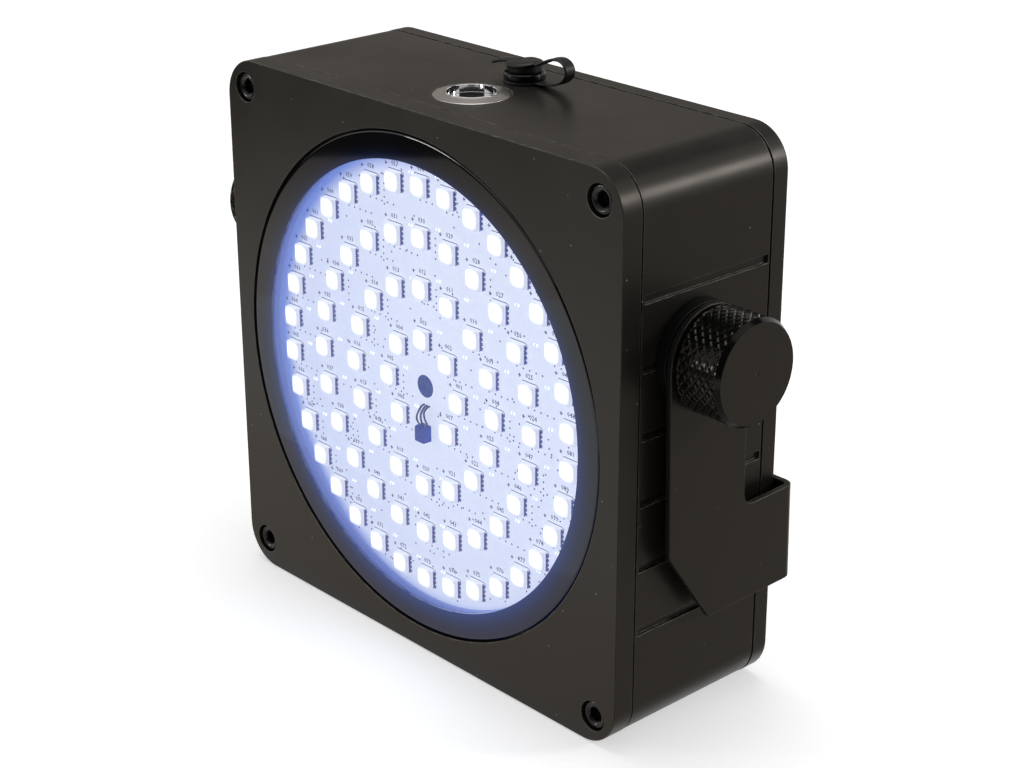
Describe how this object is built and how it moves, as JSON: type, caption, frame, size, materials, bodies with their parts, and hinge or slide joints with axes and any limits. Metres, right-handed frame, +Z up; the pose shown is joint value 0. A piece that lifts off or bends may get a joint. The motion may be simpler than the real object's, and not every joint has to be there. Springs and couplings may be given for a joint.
{
  "type": "wireless led uplight",
  "caption": "Square battery LED uplight with a round lit window, hanging sheet bracket, two knurled side knobs and a push switch and capped socket on top.",
  "frame": {"origin": "under the middle of the whole part, on the surface that its lower edge stands on", "axes": "+X to the right of someone who looks at the lit front, +Y from front to back, +Z up"},
  "size_m": [0.177, 0.0554, 0.1478],
  "materials": {
    "black_powder_coat": "black powder coat, fine satin grain",
    "black_sheet": "black powder coat on sheet",
    "black_knob": "black anodised, diamond knurled",
    "black_screw": "black oxide",
    "clear_lens": "clear window with a black printed border",
    "black_rubber": "matt",
    "white_board": "white solder mask with lit LED packages",
    "sensor": "dark infrared-pass moulding with bright leads",
    "thermal_pad": "soft grey",
    "bare_aluminium": "milled",
    "chrome_switch": "polished",
    "zinc_steel": "zinc plated",
    "gloss_black": "glossy",
    "cell_wrap": "printed-free shrink wrap",
    "holder_plastic": "moulded",
    "green_board": "green solder mask",
    "display_face": "small dark display",
    "clear_window": "clear"
  },
  "bodies": {
    "lamp": {"battery_cell_1": "cell_wrap", "battery_cell_2": "cell_wrap", "battery_cell_3": "cell_wrap", "battery_cell_4": "cell_wrap", "battery_cell_5": "cell_wrap", "battery_cell_6": "cell_wrap", "body_shell": "black_powder_coat", "cap_tether": "black_rubber", "cell_holder": "holder_plastic", "charge_socket": "gloss_black", "control_board": "green_board", "display_module": "display_face", "display_window": "clear_window", "driver_board": "green_board", "front_bezel": "black_powder_coat", "front_gasket": "black_rubber", "front_screw_1": "black_screw", "front_screw_2": "black_screw", "front_screw_3": "black_screw", "front_screw_4": "black_screw", "heat_spreader": "bare_aluminium", "ir_receiver": "sensor", "led_board": "white_board", "lens_seal": "black_rubber", "lens_window": "clear_lens", "pivot_insert_left": "zinc_steel", "pivot_insert_right": "zinc_steel", "pivot_spacer_left": "black_rubber", "pivot_spacer_right": "black_rubber", "power_switch_housing": "chrome_switch", "rear_cover": "black_powder_coat", "rear_gasket": "black_rubber", "rear_screw_1": "black_screw", "rear_screw_2": "black_screw", "rear_screw_3": "black_screw", "rear_screw_4": "black_screw", "socket_nut": "zinc_steel", "switch_nut": "zinc_steel", "thermal_pad": "thermal_pad", "wireless_module": "green_board"},
    "bracket": {"bracket": "black_sheet"},
    "knob_left": {"knob_left": "black_knob", "knob_stud_left": "zinc_steel"},
    "knob_right": {"knob_right": "black_knob", "knob_stud_right": "zinc_steel"},
    "power_button": {"power_button": "chrome_switch"},
    "dust_cap": {"dust_cap": "black_rubber"},
    "menu_button_1": {"menu_button_1": "black_rubber"},
    "menu_button_2": {"menu_button_2": "black_rubber"},
    "menu_button_3": {"menu_button_3": "black_rubber"},
    "menu_button_4": {"menu_button_4": "black_rubber"}
  },
  "joints": [
    {"name": "bracket_tilt", "type": "hinge", "parent": "lamp", "child": "bracket", "pos_m": [0, -0.00435, 0.0944], "axis": [1, 0, 0], "range_deg": [0, 106]},
    {"name": "knob_left_turn", "type": "hinge", "parent": "lamp", "child": "knob_left", "pos_m": [0, -0.00435, 0.0944], "axis": [-1, 0, 0], "range_deg": [0, 720]},
    {"name": "knob_right_turn", "type": "hinge", "parent": "lamp", "child": "knob_right", "pos_m": [0, -0.00435, 0.0944], "axis": [1, 0, 0], "range_deg": [0, 720]},
    {"name": "power_button_press", "type": "slide", "parent": "lamp", "child": "power_button", "axis": [0, 0, 1], "range_m": [-0.0005, 0.0017], "stiffness_N_per_m": 800},
    {"name": "dust_cap_lift", "type": "slide", "parent": "lamp", "child": "dust_cap", "axis": [0, 0, 1], "range_m": [0, 0.008], "deforming": ["cap_tether"]},
    {"name": "menu_button_1_press", "type": "slide", "parent": "lamp", "child": "menu_button_1", "axis": [0, -1, 0], "range_m": [0, 0.0005], "stiffness_N_per_m": 900},
    {"name": "menu_button_2_press", "type": "slide", "parent": "lamp", "child": "menu_button_2", "axis": [0, -1, 0], "range_m": [0, 0.0005], "stiffness_N_per_m": 900},
    {"name": "menu_button_3_press", "type": "slide", "parent": "lamp", "child": "menu_button_3", "axis": [0, -1, 0], "range_m": [0, 0.0005], "stiffness_N_per_m": 900},
    {"name": "menu_button_4_press", "type": "slide", "parent": "lamp", "child": "menu_button_4", "axis": [0, -1, 0], "range_m": [0, 0.0005], "stiffness_N_per_m": 900}
  ]
}
